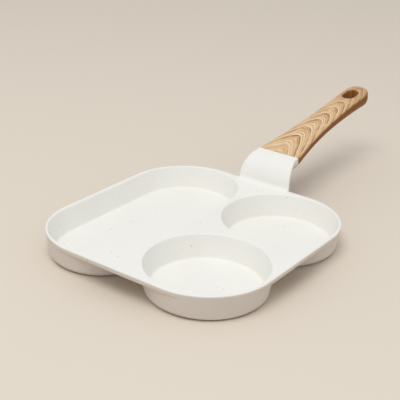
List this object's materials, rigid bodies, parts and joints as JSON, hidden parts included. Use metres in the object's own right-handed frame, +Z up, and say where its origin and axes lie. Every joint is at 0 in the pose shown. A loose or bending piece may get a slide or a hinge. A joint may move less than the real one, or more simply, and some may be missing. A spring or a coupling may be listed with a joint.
{
  "type": "divided breakfast pan",
  "caption": "Shallow cast breakfast pan divided into a long section and round wells, with a bracket that bends up from the rim into a wood-look grip with a hang hole.",
  "frame": {"origin": "on the ground, under the middle of the whole object's box", "axes": "+Y from the pan to the end of the handle, +Z up; the long section is on the -X side"},
  "size_m": [0.214, 0.4068, 0.0777],
  "materials": {
    "coating": "die-cast aluminium with a satin off-white non-stick coating, finely speckled",
    "base_plate": "brushed stainless steel",
    "wood_look": "phenolic moulding with a printed wood grain, satin",
    "fixing": "bright zinc-plated steel"
  },
  "bodies": {
    "root": {"pan_body": "coating", "long_base_plate": "base_plate", "front_base_plate": "base_plate", "rear_base_plate": "base_plate", "handle_grip": "wood_look", "handle_screw": "fixing", "handle_flat_washer": "fixing", "handle_lock_washer": "fixing"}
  },
  "joints": []
}
